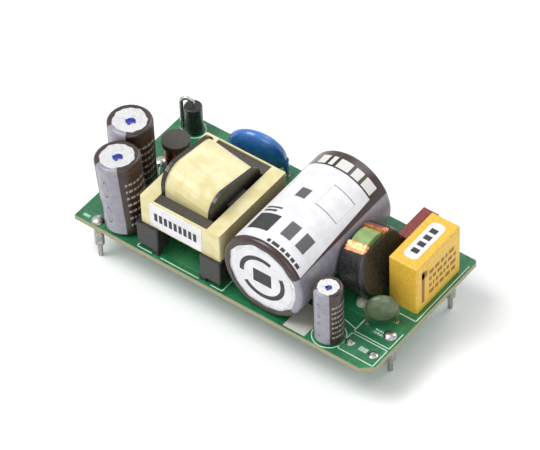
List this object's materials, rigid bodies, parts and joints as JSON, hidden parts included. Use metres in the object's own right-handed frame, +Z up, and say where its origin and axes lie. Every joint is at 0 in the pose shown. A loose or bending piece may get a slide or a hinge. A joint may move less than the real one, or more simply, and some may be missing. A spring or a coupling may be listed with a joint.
{
  "type": "open frame power supply",
  "caption": "Small open frame switching power supply board with a lying reservoir capacitor, a taped transformer, chokes, capacitors and stepped terminal pins.",
  "frame": {"origin": "middle of the board's outline, at the level of the tips of the terminal pins", "axes": "+X along the board from the output end to the input end, +Y to the edge that the reservoir capacitor's wires face, +Z up from the pins to the parts"},
  "size_m": [0.0636, 0.0318, 0.0262],
  "materials": {
    "board_laminate": "green solder mask over glass laminate",
    "tinned_terminal": "dull tin plate",
    "solder": "bright solder",
    "can_metal": "bright drawn aluminium",
    "brown_sleeve": "glossy shrink sleeve",
    "seal_rubber": "matt rubber",
    "tinned_wire": "tinned copper wire",
    "white_label": "satin white label",
    "ferrite": "matt dark ferrite",
    "yellow_tape": "pale yellow polyester tape",
    "bobbin_plastic": "black phenolic moulding",
    "copper_wire": "enamelled copper wire",
    "dark_copper_wire": "dark enamelled copper wire",
    "black_epoxy": "moulded epoxy",
    "blue_coating": "glossy dipped coating",
    "green_core_coating": "satin epoxy coating",
    "black_shrink": "shrink tube",
    "yellow_case": "moulded case",
    "potting": "cast resin",
    "red_brown_case": "grained moulding",
    "green_grey_coating": "matt dipped coating",
    "adhesive": "white set adhesive",
    "chip_moulding": "moulded epoxy with tinned legs",
    "chip_resistor_body": "black glaze on ceramic with tinned ends",
    "chip_capacitor_body": "tan ceramic with tinned ends"
  },
  "bodies": {
    "root": {"circuit_board": "board_laminate", "output_terminal_front": "tinned_terminal", "output_terminal_back": "tinned_terminal", "input_terminal_front": "tinned_terminal", "input_terminal_back": "tinned_terminal", "terminal_solder": "solder", "lead_solder": "solder", "reservoir_can": "can_metal", "reservoir_sleeve": "brown_sleeve", "reservoir_seal": "seal_rubber", "reservoir_leads": "tinned_wire", "reservoir_label": "white_label", "reservoir_end_sticker": "white_label", "output_can_a": "can_metal", "output_sleeve_a": "brown_sleeve", "output_seal_a": "seal_rubber", "output_leads_a": "tinned_wire", "output_can_b": "can_metal", "output_sleeve_b": "brown_sleeve", "output_seal_b": "seal_rubber", "output_leads_b": "tinned_wire", "bias_can": "can_metal", "bias_sleeve": "brown_sleeve", "bias_seal": "seal_rubber", "bias_leads": "tinned_wire", "transformer_core_left": "ferrite", "transformer_core_right": "ferrite", "transformer_core_tape": "yellow_tape", "transformer_bobbin": "bobbin_plastic", "transformer_winding": "copper_wire", "transformer_winding_tape": "yellow_tape", "transformer_pins": "tinned_wire", "transformer_label": "white_label", "output_choke_core": "ferrite", "output_choke_winding": "dark_copper_wire", "snubber_diode": "black_epoxy", "snubber_diode_leads": "tinned_wire", "disc_capacitor": "blue_coating", "disc_capacitor_leads": "tinned_wire", "line_choke_core": "green_core_coating", "line_choke_winding_front": "copper_wire", "line_choke_winding_back": "copper_wire", "line_choke_wrap": "black_shrink", "film_capacitor_case": "yellow_case", "film_capacitor_fill": "potting", "film_capacitor_leads": "tinned_wire", "film_capacitor_sticker": "white_label", "fuse": "red_brown_case", "fuse_leads": "tinned_wire", "thermistor": "green_grey_coating", "thermistor_leads": "tinned_wire", "adhesive_dab": "adhesive", "bridge_rectifier": "chip_moulding", "switching_controller": "chip_moulding", "optocoupler": "chip_moulding", "output_rectifier": "chip_moulding", "chip_resistors": "chip_resistor_body", "chip_capacitors": "chip_capacitor_body"}
  },
  "joints": []
}
